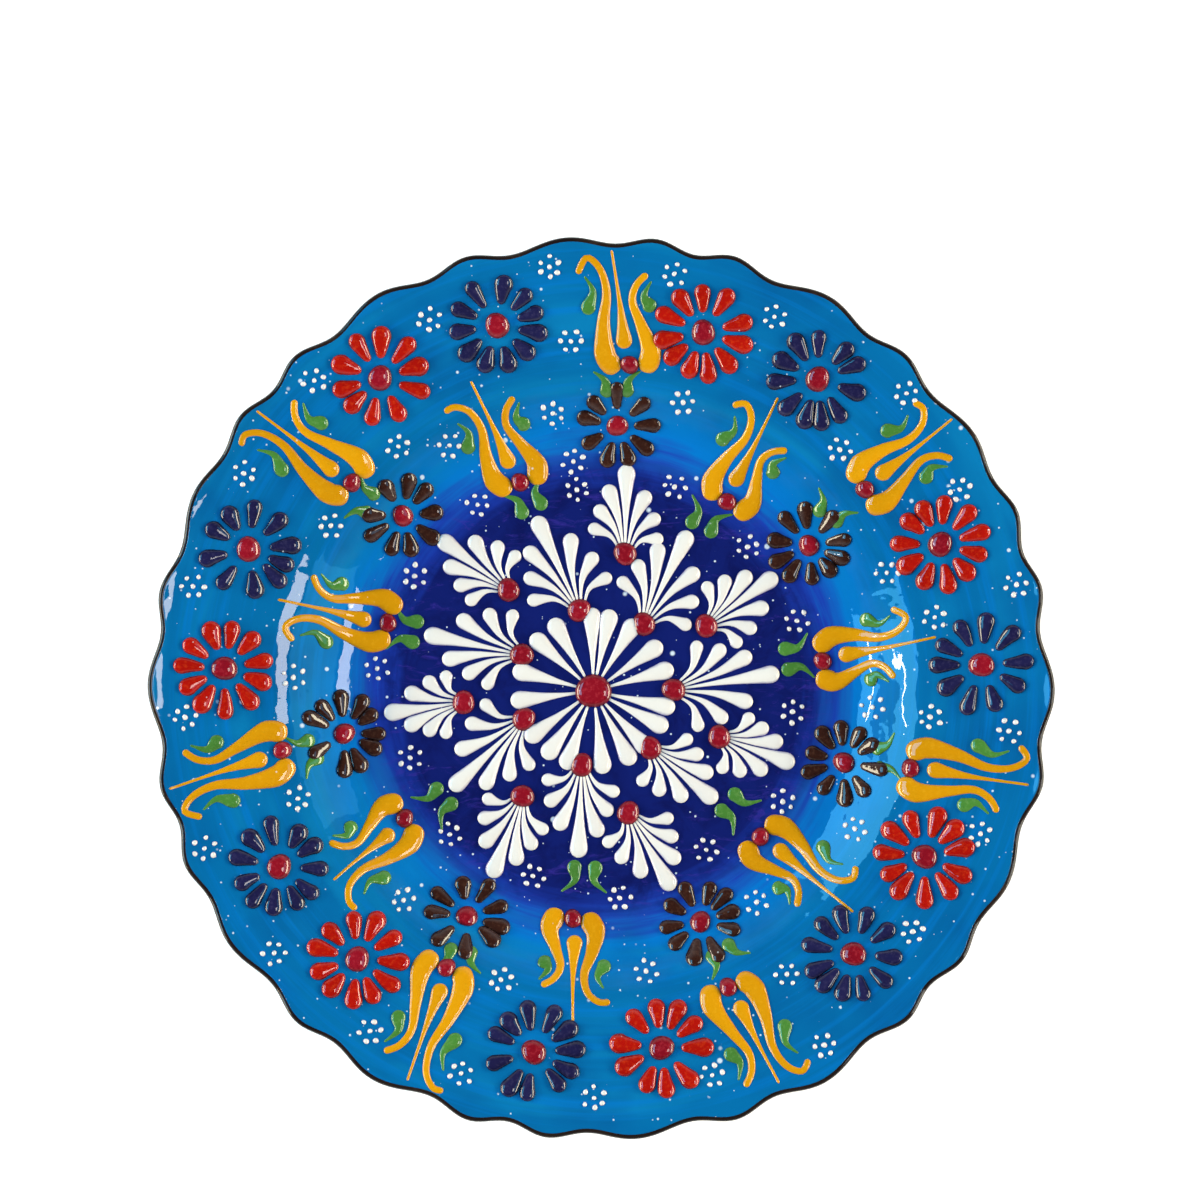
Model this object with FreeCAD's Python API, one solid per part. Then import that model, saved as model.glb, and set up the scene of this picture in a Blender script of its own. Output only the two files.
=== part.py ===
import FreeCAD, Part
import math
import os
import random

# Hand painted ceramic plate lying on its foot ring, face up.
# Origin: plate axis at the resting plane. +Z up, +Y towards the top of the pattern. Millimetres and degrees.

# Driving dimensions of the fired clay body.
RIM_RADIUS = 124.2
WELL_LEVEL = 9.5
WELL_RADIUS = 60.0
EDGE_THICKNESS = 3.6
WALL_THICKNESS = 5.0
FOOT_OUTER_RADIUS = 66.0
FOOT_WIDTH = 5.0
FOOT_HEIGHT = 4.0
FOOT_DRAFT = 1.0

# The upper face from the axis outwards: flat well, curve up, wall, curve over, flange, lifted lip.
# Each step is (length of a straight) or (radius, turn) of an arc, where a positive turn curves upwards.
FACE_ROUTE = ((WELL_RADIUS,), (35.0, 29.0), (8.0,), (40.0, -17.5), (25.0,), (16.0, 17.0), (4.0,))

# Scallops round the rim: (lobes per turn, height, phase).
SCALLOPS = ((30, 1.11, 11.2), (24, 0.35, -32), (12, 0.32, 27),
            (42, 0.25, 151), (36, 0.21, -112), (18, 0.18, 59))
SCALLOP_COUNT = 30
SCALLOP_SPANS = 8

# Levels below and above every upper face.
BELOW = -5.0
ABOVE = 45.0

# Glaze coats and the enamel laid on them.
COAT_THICKNESS = 0.3
COBALT_RADIUS = 68.5
RIM_LINE_WIDTH = 1.1
PETAL_HEIGHT = 0.9
SPRAY_HEIGHT = 0.7
TULIP_HEIGHT = 0.9
LEAF_HEIGHT = 0.6
BEAD_HEIGHT = 1.3
DOT_HEIGHT = 0.6
SMALLEST_DAB = 0.25
SECTOR_MARGIN = 2.0

# Bead radii.
MEDALLION_BEAD = 4.9
SPRAY_BEAD = 3.3
TULIP_BEAD = 2.6
FLOWER_BEAD = 3.5
BROWN_FLOWER_BEAD = 3.0
WHITE_DOT = 0.75
WHITE_DOT_RING = 2.9

MEDALLION_CENTRE = (-2.2, -0.8)

# Flowers: (angle and radius of the centre, angles of the petals).
RED_FLOWERS = (
    (23.0, 102.5, (84, 116, 145, 180, 213, 246, 280, 314, 346, 16, 48)),
    (74.0, 103.0, (92, 57, 14, -16, -52, -84, 249, 219, 190, 155, 124)),
    (125.5, 106.0, (88, 122, 160, 196, 225, 258, 298, 343, 16, 50)),
    (177.0, 105.0, (108, 80, 46, 11, -21, -52, -90, 237, 208, 177, 146)),
    (228.0, 101.5, (96, 135, 165, 198, 227, 266, 294, 325, -3, 30, 63)),
    (279.5, 101.5, (98, 66, 35, 0, -47, -82, 249, 207, 173, 133)),
    (332.5, 101.5, (110, 72, 44, 12, -25, -55, -90, 234, 205, 174, 143)))
NAVY_FLOWERS = (
    (3.5, 106.0, (120, 84, 45, 5, -30, -70, 252, 213, 180, 153)),
    (55.0, 105.0, (88, 45, 20, -18, -58, -85, 253, 222, 183, 152, 121)),
    (106.0, 105.0, (80, 47, 19, -11, -42, -75, 253, 221, 189, 158, 124)),
    (158.5, 105.5, (82, 44, 4, -21, -45, -82, 232, 194, 151, 118)),
    (209.0, 102.5, (100, 60, 30, -3, -38, -63, -97, 233, 205, 168, 136)),
    (259.5, 103.0, (98, 62, 33, 3, -26, -53, -98, 235, 196, 155, 128)),
    (313.5, 102.0, (107, 72, 35, -3, -40, -76, -106, -135, 203, 168, 136)))
BROWN_FLOWERS = (
    (34.5, 70.5, (96, 131, 170, 205, 238, 276, 310, 338, 8, 50)),
    (86.5, 73.5, (90, 40, 0, -37, -72, -105, -150, 168, 135)),
    (139.0, 73.5, (80, 48, 7, -35, -78, 252, 212, 178, 120)),
    (190.0, 73.0, (96, 62, 35, 0, -25, -62, -90, 215, 155, 130)),
    (239.5, 74.0, (98, 55, 16, -18, -43, -90, 218, 174, 142)),
    (293.0, 71.0, (73, 46, 18, -12, -62, -100, 222, 190, 150, 115)),
    (343.0, 71.0, (95, 60, 32, -10, -55, -90, 232, 195, 162, 125)))

# Tulips: (angle and radius of the bead, axis angle, middle stroke, left reach, left hook, right reach).
OUTER_TULIPS = ((345.5, 89.0, 352, 33, 31.5, 2.5, 25.5), (37.0, 92.0, 39, 31, 26.5, 1.0, 24.0),
                (85.0, 90.5, 99, 32, 31.0, 4.0, 24.0), (140.5, 90.0, 143, 33, 31.5, 1.0, 26.5),
                (191.0, 90.5, 199, 33, 31.0, 4.0, 26.0), (241.0, 89.0, 251, 33, 32.5, 0.0, 27.5),
                (293.0, 90.5, 298, 30, 30.0, 2.0, 26.5))
INNER_TULIPS = ((7.0, 62.5, 12, 32, 25.0, 3.5, 18.5), (56.0, 63.0, 64, 32, 26.5, 2.0, 20.0),
                (111.5, 62.0, 116, 31, 26.5, 0.0, 22.0), (163.0, 62.5, 168, 31, 27.5, 3.0, 23.0),
                (213.5, 66.0, 221, 26, 26.5, 0.0, 20.0), (263.0, 65.0, 270, 29, 23.0, 0.0, 18.5),
                (317.0, 61.0, 321, 33, 27.0, 1.5, 20.0))

# Palmettes round the medallion's centre: (angle and radius of the bead, axis angle, middle stroke).
INNER_PALMETTES = ((1, 22.5, 9, 30.0), (53, 23.5, 64, 29.0), (100, 23.0, 115, 29.0),
                   (153, 22.5, 168, 28.0), (202, 21.0, 224, 28.5), (261, 21.0, 268, 26.0),
                   (315, 22.5, 321, 24.0))
OUTER_PALMETTES = ((30, 36.5, 36, 24.5), (77, 39.5, 89, 25.0), (130, 37.0, 143, 24.5),
                   (185, 36.5, 188, 22.5), (236, 35.5, 249, 24.5), (286, 35.5, 300, 25.0),
                   (340, 37.5, 340, 22.5))
# Strokes of a palmette: (turn from the axis, share of the middle stroke's length, half width of the head).
PALMETTE_FAN = ((0, 1.0, 2.55), (16, 0.8, 2.3), (-19, 0.75, 2.3), (33, 0.63, 2.1), (-41, 0.58, 2.1),
                (55, 0.51, 1.9), (-68, 0.46, 1.9))
# How far the leaf pair at the tip of each inner palmette sits to the left of its axis.
LEAF_SHIFTS = (3.5, -2.6, 0.0, 0.0, 0.0, 1.9, 1.9)
RAY_INNER_RADIUS = 4.6
RAY_OUTER_RADIUS = 23.4
CENTRE_RAYS = (16, 35, 59, 78, 91, 120, 138, 165, 187, 216, 234, 250, 277, 298, 313, 333, 348)

# Clusters of white dots: (angle, radius).
DOT_CLUSTERS = ((14, 119), (29, 114), (44, 118), (65, 114), (80, 117), (97, 118), (115, 113), (133, 117),
                (149, 116), (166, 117), (184, 116), (202, 119), (219, 117), (236, 115), (250, 114),
                (269, 114),
                (286, 112), (302, 117), (322, 110), (339, 113), (354, 114), (12, 95), (22, 86), (45, 94),
                (74, 83), (95, 97), (100, 78), (122, 80), (130, 88), (149, 88), (178, 86), (200, 90),
                (227, 81), (251, 86), (279, 80), (303, 95), (306, 74), (331, 81), (355, 92), (356, 76),
                (19, 58), (44, 57), (70, 60), (97, 56), (97, 64), (124, 62), (149, 61), (175, 63),
                (200, 57), (224, 59), (250, 56), (275, 59), (303, 54), (328, 60), (353, 54))


# ---- layout ----

def polar(angle, radius, about=(0.0, 0.0)):
    turn = math.radians(angle)
    return (about[0] + radius * math.cos(turn), about[1] + radius * math.sin(turn))


def place(along, across, origin, angle):
    """A point given along and across an axis, in plate coordinates."""
    turn = math.radians(angle)
    return (origin[0] + along * math.cos(turn) - across * math.sin(turn),
            origin[1] + along * math.sin(turn) + across * math.cos(turn))


def direction(start, end):
    return math.degrees(math.atan2(end[1] - start[1], end[0] - start[0]))


def curve_at(points, part):
    """Catmull-Rom curve through the points, with part from 0 to 1."""
    spans = len(points) - 1
    span = min(int(part * spans), spans - 1)
    s = part * spans - span
    before = points[max(span - 1, 0)]
    after = points[min(span + 2, spans)]
    values = []
    for p, q, r, w in zip(before, points[span], points[span + 1], after):
        cubic = (3 * q - p - 3 * r + w) * s ** 3
        square = (2 * p - 5 * q + 4 * r - w) * s ** 2
        values.append(0.5 * (2 * q + (r - p) * s + square + cubic))
    return tuple(values)


def brush(points, fat, thin, fat_end, steps, power):
    """Samples (x, y, half width) of a stroke that is fat up to fat_end of its length and then thins out."""
    fine = 60
    dense = [curve_at(points, i / fine) for i in range(fine + 1)]
    run = [0.0]
    for a, b in zip(dense, dense[1:]):
        run.append(run[-1] + math.dist(a, b))
    length = run[-1]
    samples = []
    for i in range(steps + 1):
        at = length * (0.5 - 0.5 * math.cos(math.pi * i / steps))
        k = min(sum(1 for r in run if r <= at + 1e-9) - 1, fine - 1)
        f = (at - run[k]) / max(run[k + 1] - run[k], 1e-9)
        x = dense[k][0] + f * (dense[k + 1][0] - dense[k][0])
        y = dense[k][1] + f * (dense[k + 1][1] - dense[k][1])
        past = max(at / length - fat_end, 0.0) / (1 - fat_end)
        half = thin + (fat - thin) * (1 - past) ** power
        head = min(at / fat, 1.0)
        tail = min((length - at) / max(thin, 0.5), 1.0)
        half *= math.sqrt(1 - (1 - head) ** 2) * math.sqrt(1 - (1 - tail) ** 2)
        samples.append((x, y, half))
    return samples


def drop(tip, fat_point, fat, thin, bend=0.0, power=1.5, steps=12):
    """Teardrop from its round fat end to its thin tip.

    bend moves its middle sideways by that part of its length.
    """
    across = (tip[1] - fat_point[1], fat_point[0] - tip[0])
    middle = ((tip[0] + fat_point[0]) / 2 + across[0] * bend,
              (tip[1] + fat_point[1]) / 2 + across[1] * bend)
    length = math.dist(tip, fat_point)
    return brush((fat_point, middle, tip), fat, thin, 1.15 * fat / length, steps, power)


def flower_petals(centre, angles, inner, outer, fat, rng):
    petals = []
    for angle in angles:
        reach = outer + rng.uniform(-0.7, 0.7)
        width = fat * rng.uniform(0.9, 1.1)
        bend = rng.uniform(-0.04, 0.04)
        petals.append(drop(polar(angle, inner, centre), polar(angle, reach, centre), width, 0.9, bend, 0.9))
    return petals


def tulip_strokes(bead, axis, middle, left, hook, right):
    """Two side strokes, bulbs at the bead and ends curling outwards, and a middle one with a thread."""
    k = left / 30
    q = right / 25
    left_route = ((-1.2, 3.2), (3.4, 6.2), (12.0 * k, 5.4), (20.0 * k, 3.2), (26.5 * k, 4.0),
                  (left, 7.2), (left - hook, 10.4))
    right_route = ((-2.6, -3.6), (2.4, -6.4), (10.8 * q, -4.9), (17.6 * q, -3.5), (22.2 * q, -5.2),
                   (right, -8.8))
    middle_route = ((4.6, 0.6), (9.6, 0.3), (18.0, 0.0), (middle, 0.0))
    return (brush([place(u, v, bead, axis) for u, v in left_route], 3.0, 0.95, 0.17, 22, 2.9),
            brush([place(u, v, bead, axis) for u, v in right_route], 3.0, 1.0, 0.19, 20, 2.8),
            brush([place(u, v, bead, axis) for u, v in middle_route], 2.3, 0.4, 0.1, 16, 3.4))


def palmette_strokes(bead, axis, length):
    """A fountain of strokes: thin tails leave the bead side by side and spread to their round heads."""
    strokes = []
    for turn, share, fat in PALMETTE_FAN:
        reach = length * share
        head = polar(axis + turn, reach, bead)
        middle = polar(axis + 0.76 * turn, 0.55 * reach, bead)
        tail = polar(axis + 0.85 * turn, SPRAY_BEAD - 0.4, bead)
        strokes.append(brush((head, middle, tail), fat, 0.36, 1.5 * fat / reach, 13, 1.5))
    return strokes


def centre_ray(angle):
    inner = polar(angle, RAY_INNER_RADIUS, MEDALLION_CENTRE)
    outer = polar(angle, RAY_OUTER_RADIUS, MEDALLION_CENTRE)
    return drop(inner, outer, 2.65, 0.4, 0.0, 1.4)


def leaf(route, origin, axis):
    """A comma: round head first, thin hooked tail last."""
    return brush([place(u, v, origin, axis) for u, v in route], 2.1, 0.35, 0.22, 13, 1.7)


def tulip_leaves(bead, axis, left, right):
    left_route = ((0.50 * left, 9.6), (0.58 * left, 8.6), (0.70 * left, 6.9), (0.84 * left, 8.6))
    right_route = ((0.56 * right, -8.8), (0.65 * right, -7.9), (0.76 * right, -7.0), (0.91 * right, -9.6))
    return [leaf(left_route, bead, axis), leaf(right_route, bead, axis)]


def leaf_pair(origin, axis, route):
    """The same leaf on both sides of an axis."""
    return [leaf([(along, side * across) for along, across in route], origin, axis) for side in (1, -1)]


def all_leaves():
    leaves = []
    for angle, radius, axis, middle, left, hook, right in OUTER_TULIPS + INNER_TULIPS:
        leaves += tulip_leaves(polar(angle, radius), axis, left, right)
    for flower, tulip in zip(BROWN_FLOWERS, OUTER_TULIPS[1:] + OUTER_TULIPS[:1]):
        centre = polar(flower[0], flower[1])
        towards = direction(centre, polar(tulip[0], tulip[1])) + 12
        leaves += leaf_pair(centre, towards, ((7.8, 2.6), (10.4, 2.9), (12.8, 3.6), (15.0, 6.6)))
    for (angle, radius, axis, length), shift in zip(INNER_PALMETTES, LEAF_SHIFTS):
        tip = polar(axis, length, polar(angle, radius, MEDALLION_CENTRE))
        middle = polar(axis + 90, shift, tip)
        leaves += leaf_pair(middle, axis, ((0.6, 3.1), (3.0, 2.9), (6.4, 2.8), (9.6, 6.4)))
    return leaves


def cluster_dots(angle, radius, rng):
    """Six dots round a seventh."""
    centre = polar(angle, radius)
    first = rng.uniform(0, 60)
    ring = [polar(first + 60 * i + rng.uniform(-6, 6), WHITE_DOT_RING + rng.uniform(-0.3, 0.3), centre)
            for i in range(6)]
    return [centre] + ring


# ---- plate body and coats ----

def in_profile(radius, height):
    return FreeCAD.Vector(radius, 0, height)


def face_edges(lift):
    """Edges of the upper face's profile, from the axis outwards, lifted by lift."""
    radius = 0.0
    height = WELL_LEVEL + lift
    heading = 0.0
    edges = []
    for step in FACE_ROUTE:
        start = in_profile(radius, height)
        if len(step) == 1:
            radius += step[0] * math.cos(heading)
            height += step[0] * math.sin(heading)
            edges.append(Part.makeLine(start, in_profile(radius, height)))
            continue
        bend = step[0] if step[1] > 0 else -step[0]
        centre = (radius - bend * math.sin(heading), height + bend * math.cos(heading))
        half_way = heading + math.radians(step[1]) / 2
        heading += math.radians(step[1])
        middle = in_profile(centre[0] + bend * math.sin(half_way), centre[1] - bend * math.cos(half_way))
        radius = centre[0] + bend * math.sin(heading)
        height = centre[1] - bend * math.cos(heading)
        edges.append(Part.Arc(start, middle, in_profile(radius, height)).toShape())
    return edges


def turned(edges, first_angle=0.0, sweep=360.0):
    """Solid swept round the plate's axis by a closed profile whose edges follow one another."""
    face = Part.Face(Part.Wire(edges))
    face.rotate(FreeCAD.Vector(0, 0, 0), FreeCAD.Vector(0, 0, 1), first_angle)
    solid = face.revolve(FreeCAD.Vector(0, 0, 0), FreeCAD.Vector(0, 0, 1), sweep)
    if solid.Volume < 0:
        solid.reverse()
    return solid


def face_layer(low, high, first_angle=0.0, sweep=360.0):
    """Solid between two copies of the upper face, lifted by low and high."""
    bottom = face_edges(low)
    top = face_edges(high)
    outer = Part.makeLine(bottom[-1].Vertexes[-1].Point, top[-1].Vertexes[-1].Point)
    inner = Part.makeLine(top[0].Vertexes[0].Point, bottom[0].Vertexes[0].Point)
    return turned(bottom + [outer] + top[::-1] + [inner], first_angle, sweep)


def clay_blank():
    """Body before its rim is cut to the scallops, turned in one piece with its foot ring."""
    top = face_edges(0)
    edge_top = top[-1].Vertexes[-1].Point
    wall = top[2].CenterOfMass
    flange = top[4].CenterOfMass
    edge_bottom = in_profile(edge_top.x, edge_top.z - EDGE_THICKNESS)
    foot_inner = in_profile(FOOT_OUTER_RADIUS - FOOT_WIDTH, 0)
    foot_outer = in_profile(FOOT_OUTER_RADIUS, 0)
    foot_root = in_profile(FOOT_OUTER_RADIUS + FOOT_DRAFT, FOOT_HEIGHT)
    recess_edge = in_profile(foot_inner.x - FOOT_DRAFT, FOOT_HEIGHT)
    recess_centre = in_profile(0, FOOT_HEIGHT)
    underside = Part.BSplineCurve()
    underside.interpolate([edge_bottom, in_profile(flange.x, flange.z - WALL_THICKNESS),
                           in_profile(wall.x + 2, wall.z - 1.15 * WALL_THICKNESS), foot_root])
    corners = [foot_root, foot_outer, foot_inner, recess_edge, recess_centre, top[0].Vertexes[0].Point]
    below = [Part.makeLine(a, b) for a, b in zip(corners, corners[1:])]
    return turned(top + [Part.makeLine(edge_top, edge_bottom), underside.toShape()] + below)


def rim_radius(angle):
    waves = sum(height * math.cos(math.radians(lobes * angle + phase))
                for lobes, height, phase in SCALLOPS)
    return RIM_RADIUS + waves


def upright_prism(face, low, high):
    base = face.translated(FreeCAD.Vector(0, 0, low))
    return base.extrude(FreeCAD.Vector(0, 0, high - low))


def smooth_face(points):
    """Flat face inside a smooth closed curve through the points."""
    curve = Part.BSplineCurve()
    curve.interpolate(Points=[FreeCAD.Vector(x, y, 0) for x, y in points], PeriodicFlag=True)
    return Part.Face(Part.Wire(curve.toShape()))


def disc(radius, centre=(0.0, 0.0)):
    return Part.Face(Part.Wire(Part.makeCircle(radius, FreeCAD.Vector(centre[0], centre[1], 0))))


def rim_tangent(angle, inset):
    """Direction of the scalloped rim, along increasing angle."""
    slope = -sum(height * lobes * math.sin(math.radians(lobes * angle + phase))
                 for lobes, height, phase in SCALLOPS)
    along = polar(angle + 90, rim_radius(angle) - inset)
    outwards = polar(angle, slope)
    return FreeCAD.Vector(along[0] + outwards[0], along[1] + outwards[1], 0)


def scalloped_face(inset):
    """Flat face inside the rim, with one smooth edge for each scallop."""
    edges = []
    for number in range(SCALLOP_COUNT):
        first = 360 * number / SCALLOP_COUNT
        angles = [first + 360 / SCALLOP_COUNT * i / SCALLOP_SPANS for i in range(SCALLOP_SPANS + 1)]
        places = [polar(angle, rim_radius(angle) - inset) for angle in angles]
        curve = Part.BSplineCurve()
        curve.interpolate(Points=[FreeCAD.Vector(x, y, 0) for x, y in places],
                          InitialTangent=rim_tangent(angles[0], inset),
                          FinalTangent=rim_tangent(angles[-1], inset))
        edges.append(curve.toShape())
    return Part.Face(Part.Wire(edges))


def stroke_face(samples):
    """Flat face between the stroke's two sides."""
    left = []
    right = []
    last = len(samples) - 1
    for i, (x, y, half) in enumerate(samples):
        before = samples[max(i - 1, 0)]
        after = samples[min(i + 1, last)]
        dx = after[0] - before[0]
        dy = after[1] - before[1]
        length = math.hypot(dx, dy)
        left.append((x - dy / length * half, y + dx / length * half))
        if 0 < i < last:
            right.append((x + dy / length * half, y - dx / length * half))
    return smooth_face(left + right[::-1])


# ---- assembly ----

def raised(face, height):
    """The part of the layer on top of the coats that stands over a flat face."""
    low = COAT_THICKNESS
    box = face.BoundBox
    corners = [(x, y) for x in (box.XMin, box.XMax) for y in (box.YMin, box.YMax)]
    reach = max(math.hypot(x, y) for x, y in corners)
    if reach < WELL_RADIUS:
        return upright_prism(face, WELL_LEVEL + low, WELL_LEVEL + low + height)
    middle = math.degrees(math.atan2(box.Center.y, box.Center.x))
    half_width = box.DiagonalLength / 2 / math.hypot(box.Center.x, box.Center.y)
    half_sweep = math.degrees(math.asin(min(half_width, 0.9))) + SECTOR_MARGIN
    sector = face_layer(low, low + height, middle - half_sweep, 2 * half_sweep)
    return upright_prism(face, BELOW, ABOVE).common(sector)


class Dabs:
    """Enamel dabs laid on the coats; a later dab stops where it meets an earlier one."""

    def __init__(self):
        self.laid = []
        self.nodes = {}

    def lay(self, node, face, height):
        neighbours = [other for other in self.laid if face.BoundBox.intersect(other.BoundBox)]
        if neighbours:
            face = face.cut(neighbours)
        for piece in face.Faces:
            if piece.Area > SMALLEST_DAB:
                self.laid.append(piece)
                self.nodes.setdefault(node, []).extend(raised(piece, height).Solids)


def write(node, solids):
    shape = solids[0] if len(solids) == 1 else Part.makeCompound(solids)
    shape.exportStep("parts/" + node + ".step")
    print(node, len(solids), round(shape.Volume, 1), shape.isValid())


def lay_beads(dabs):
    dabs.lay("medallion_centre_bead", disc(MEDALLION_BEAD, MEDALLION_CENTRE), BEAD_HEIGHT)
    for angle, radius, axis, length in INNER_PALMETTES + OUTER_PALMETTES:
        dabs.lay("medallion_beads", disc(SPRAY_BEAD, polar(angle, radius, MEDALLION_CENTRE)), BEAD_HEIGHT)
    for tulip in OUTER_TULIPS + INNER_TULIPS:
        dabs.lay("tulip_beads", disc(TULIP_BEAD, polar(tulip[0], tulip[1])), BEAD_HEIGHT)
    for flower in RED_FLOWERS + NAVY_FLOWERS:
        dabs.lay("flower_centre_beads", disc(FLOWER_BEAD, polar(flower[0], flower[1])), BEAD_HEIGHT)
    for flower in BROWN_FLOWERS:
        dabs.lay("flower_centre_beads", disc(BROWN_FLOWER_BEAD, polar(flower[0], flower[1])), BEAD_HEIGHT)


def lay_flowers(dabs, name, flowers, inner, outer, fat, rng):
    for number, (angle, radius, angles) in enumerate(flowers, 1):
        for petal in flower_petals(polar(angle, radius), angles, inner, outer, fat, rng):
            dabs.lay(name + "_" + str(number), stroke_face(petal), PETAL_HEIGHT)


def lay_tulips(dabs, name, tulips):
    for number, (angle, radius, axis, middle, left, hook, right) in enumerate(tulips, 1):
        for stroke in tulip_strokes(polar(angle, radius), axis, middle, left, hook, right):
            dabs.lay(name + "_" + str(number), stroke_face(stroke), TULIP_HEIGHT)


def lay_palmettes(dabs, name, palmettes):
    for number, (angle, radius, axis, length) in enumerate(palmettes, 1):
        for stroke in palmette_strokes(polar(angle, radius, MEDALLION_CENTRE), axis, length):
            dabs.lay(name + "_" + str(number), stroke_face(stroke), SPRAY_HEIGHT)


def lay_white_dots(dabs, rng):
    for angle, radius in DOT_CLUSTERS:
        for spot in cluster_dots(angle, radius, rng):
            dabs.lay("white_dots", disc(WHITE_DOT, spot), DOT_HEIGHT)


def main():
    os.makedirs("parts", exist_ok=True)
    outer = upright_prism(scalloped_face(0), BELOW, ABOVE)
    inside_line = upright_prism(scalloped_face(RIM_LINE_WIDTH), BELOW, ABOVE)
    well = upright_prism(disc(COBALT_RADIUS), BELOW, ABOVE)
    coat = face_layer(0, COAT_THICKNESS)
    write("plate_body", clay_blank().common(outer).Solids)
    write("rim_line", coat.common(outer).cut(inside_line).Solids)
    write("turquoise_coat", coat.common(inside_line).cut(well).Solids)
    write("cobalt_coat", coat.common(well).Solids)

    dabs = Dabs()
    rng = random.Random(7)
    lay_beads(dabs)
    lay_flowers(dabs, "red_flower", RED_FLOWERS, 5.5, 14.0, 2.6, rng)
    lay_flowers(dabs, "navy_flower", NAVY_FLOWERS, 5.9, 14.1, 2.45, rng)
    lay_flowers(dabs, "brown_flower", BROWN_FLOWERS, 4.6, 11.9, 2.25, rng)
    lay_tulips(dabs, "outer_tulip", OUTER_TULIPS)
    lay_tulips(dabs, "inner_tulip", INNER_TULIPS)
    for angle in CENTRE_RAYS:
        dabs.lay("medallion_rays", stroke_face(centre_ray(angle)), SPRAY_HEIGHT)
    lay_palmettes(dabs, "inner_palmette", INNER_PALMETTES)
    lay_palmettes(dabs, "outer_palmette", OUTER_PALMETTES)
    for blade in all_leaves():
        dabs.lay("leaves", stroke_face(blade), LEAF_HEIGHT)
    lay_white_dots(dabs, rng)
    for node, solids in dabs.nodes.items():
        write(node, solids)


main()
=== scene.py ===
import math
import random

import bpy
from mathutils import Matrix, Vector


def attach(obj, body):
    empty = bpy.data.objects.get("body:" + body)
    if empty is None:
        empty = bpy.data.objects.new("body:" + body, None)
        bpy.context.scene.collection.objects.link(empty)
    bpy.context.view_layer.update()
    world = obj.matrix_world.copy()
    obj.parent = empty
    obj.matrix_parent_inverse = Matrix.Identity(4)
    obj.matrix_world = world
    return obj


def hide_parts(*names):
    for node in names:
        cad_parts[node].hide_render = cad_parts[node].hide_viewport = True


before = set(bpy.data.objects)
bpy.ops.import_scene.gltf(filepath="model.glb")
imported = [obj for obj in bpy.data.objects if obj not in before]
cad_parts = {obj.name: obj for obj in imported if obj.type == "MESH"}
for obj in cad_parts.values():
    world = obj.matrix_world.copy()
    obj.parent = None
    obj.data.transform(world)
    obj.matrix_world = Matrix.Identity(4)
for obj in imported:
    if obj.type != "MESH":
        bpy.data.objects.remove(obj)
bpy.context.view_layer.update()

# Hand painted ceramic plate lying on its foot ring, face up, seen from straight above.
# All sizes below are in millimetres and degrees, in the frame of the CAD model; MM turns them into metres.
MM = 0.001

# ---- clay body ----
RIM_RADIUS = 124.2
WELL_LEVEL = 9.5
WELL_RADIUS = 60.0
FOOT_OUTER_RADIUS = 66.0
FOOT_WIDTH = 5.0
FOOT_HEIGHT = 4.0
EDGE_THICKNESS = 3.6
COAT_THICKNESS = 0.3
RIM_LINE_WIDTH = 1.1
LIP_ROUNDING = 1.3
LIP_STEPS = 6
# Where the rim line starts on the rounded lip, in degrees from the lip's top.
LINE_START = math.degrees(math.asin(1 - RIM_LINE_WIDTH / LIP_ROUNDING))

# Profile of the upper face, outwards from the axis: (length of a straight) or (radius, turn) of an arc.
FACE_ROUTE = ((WELL_RADIUS,), (35.0, 29.0), (8.0,), (40.0, -17.5), (25.0,), (16.0, 17.0), (4.0,))

# Scallops round the rim: (lobes per turn, height, phase). They fade out inwards from FLAT_RADIUS.
SCALLOPS = ((30, 1.11, 11.2), (24, 0.35, -32), (12, 0.32, 27),
            (42, 0.25, 151), (36, 0.21, -112), (18, 0.18, 59))
FLAT_RADIUS = 98.0

# Profile of the underside, inwards from the rim: (radius, height).
FOOT_INNER_RADIUS = FOOT_OUTER_RADIUS - FOOT_WIDTH
UNDERSIDE_WALL = ((118, 21.4), (112, 19.7), (104, 18.0), (96, 16.2), (90, 13.6), (84, 10.4), (78, 7.3),
                  (72, 5.1), (69, 4.3))
FOOT_RING = ((FOOT_OUTER_RADIUS + 1.4, 3.6), (FOOT_OUTER_RADIUS + 0.6, 2.6), (FOOT_OUTER_RADIUS, 0.7),
             (FOOT_OUTER_RADIUS - 0.5, 0.15), (FOOT_OUTER_RADIUS - 1.1, 0.0), (FOOT_INNER_RADIUS + 1.1, 0.0),
             (FOOT_INNER_RADIUS + 0.5, 0.15), (FOOT_INNER_RADIUS, 0.7), (FOOT_INNER_RADIUS - 0.7, 2.8),
             (FOOT_INNER_RADIUS - 1.5, 3.7), (FOOT_INNER_RADIUS - 3.0, FOOT_HEIGHT))
RECESS = ((45, FOOT_HEIGHT + 0.05), (25, FOOT_HEIGHT + 0.1), (10, FOOT_HEIGHT + 0.1), (0, FOOT_HEIGHT + 0.1))

# Steps of the turned meshes: round the plate, and between rings of the coat and of the clay below it.
TURN_STEPS = 600
COAT_RING = 1.5
CLAY_RING = 4
COAT_UNDERSIDE_RING = 8
# The clay stays this far below the coat, and the coat's own underside this far above the CAD face.
CLAY_SINK = 0.05
COAT_GAP = 0.02

# ---- pattern ----
MEDALLION_CENTRE = (-2.2, -0.8)
MEDALLION_BEAD = 4.9
SPRAY_BEAD = 3.3
TULIP_BEAD = 2.6
FLOWER_BEAD = 3.5
BROWN_FLOWER_BEAD = 3.0
WHITE_DOT = 0.75
WHITE_DOT_RING = 2.9

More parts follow.
